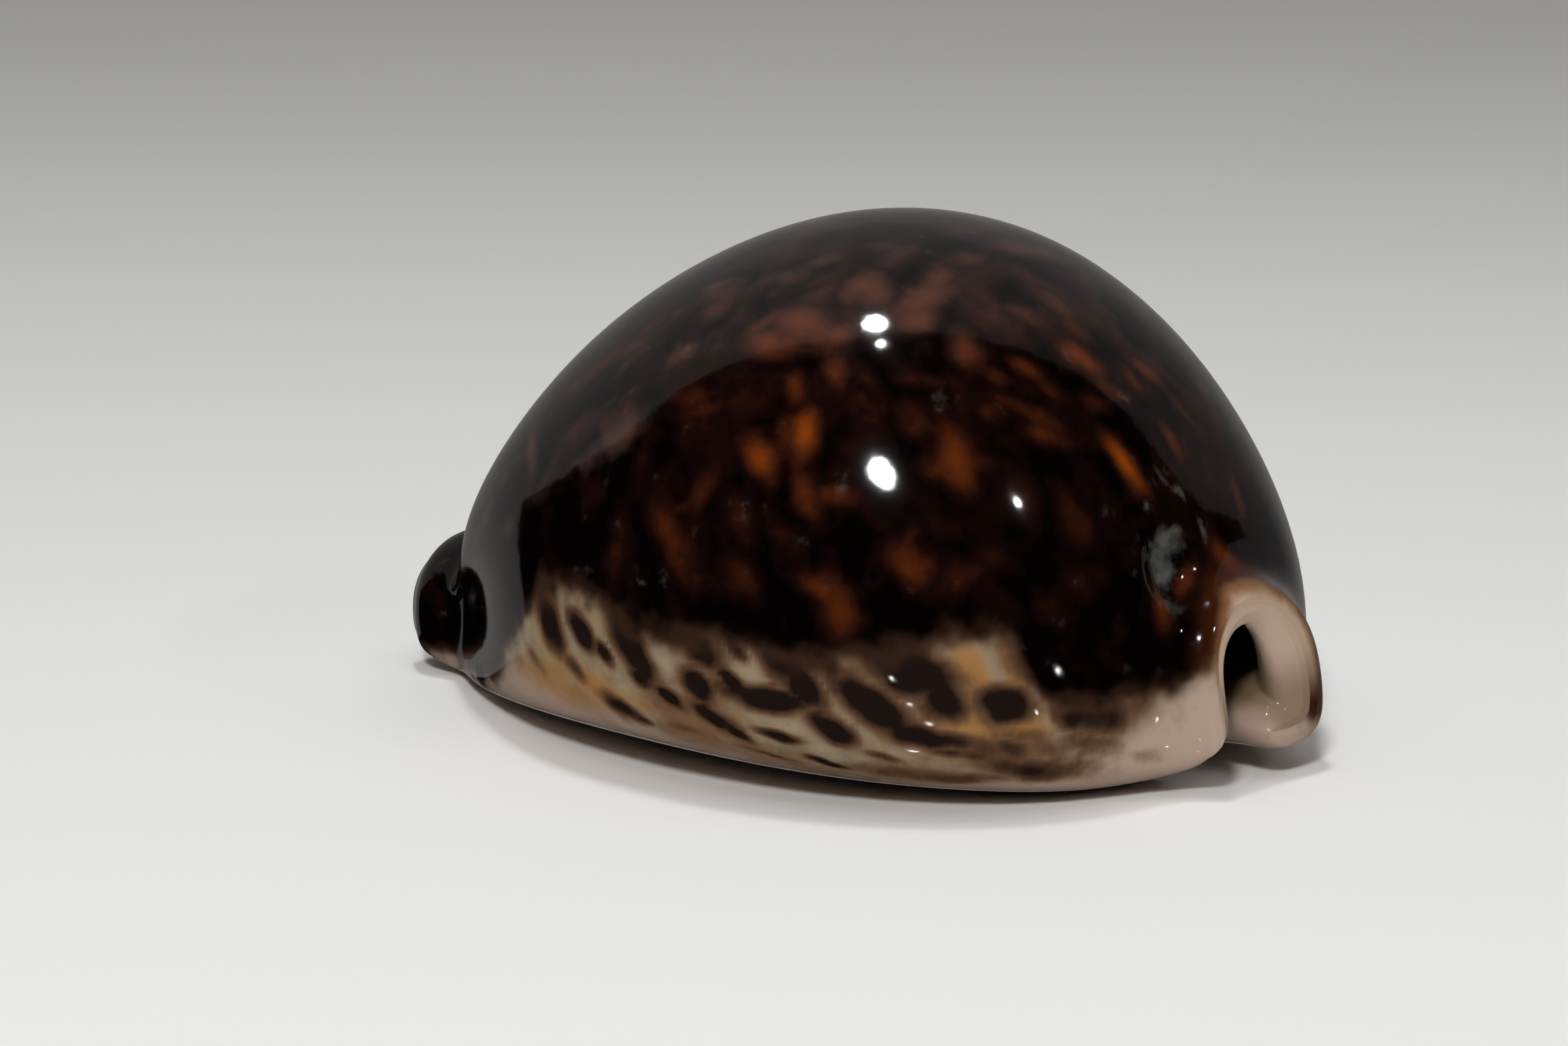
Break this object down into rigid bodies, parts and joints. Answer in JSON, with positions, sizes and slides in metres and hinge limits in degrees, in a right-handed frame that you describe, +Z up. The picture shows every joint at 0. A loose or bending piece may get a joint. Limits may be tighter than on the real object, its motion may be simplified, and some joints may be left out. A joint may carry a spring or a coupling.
{
  "type": "cowrie shell",
  "caption": "Domed cowrie shell with a toothed slit under it, a horseshoe-shaped canal at one end and a short beak at the other, resting on its base",
  "frame": {"origin": "centre of the bounding box in plan, on the surface that the shell rests on", "axes": "+X along the shell to its posterior (spire) end, +Y to the outer lip's side, +Z up through the domed back"},
  "size_m": [0.0826, 0.0586, 0.0432],
  "materials": {
    "shell": "polished natural shell, glossy; near-black brown blotches over amber on the back, cream sides with brown spots, pale lips"
  },
  "bodies": {
    "root": {"cowrie_shell": "shell"}
  },
  "joints": []
}
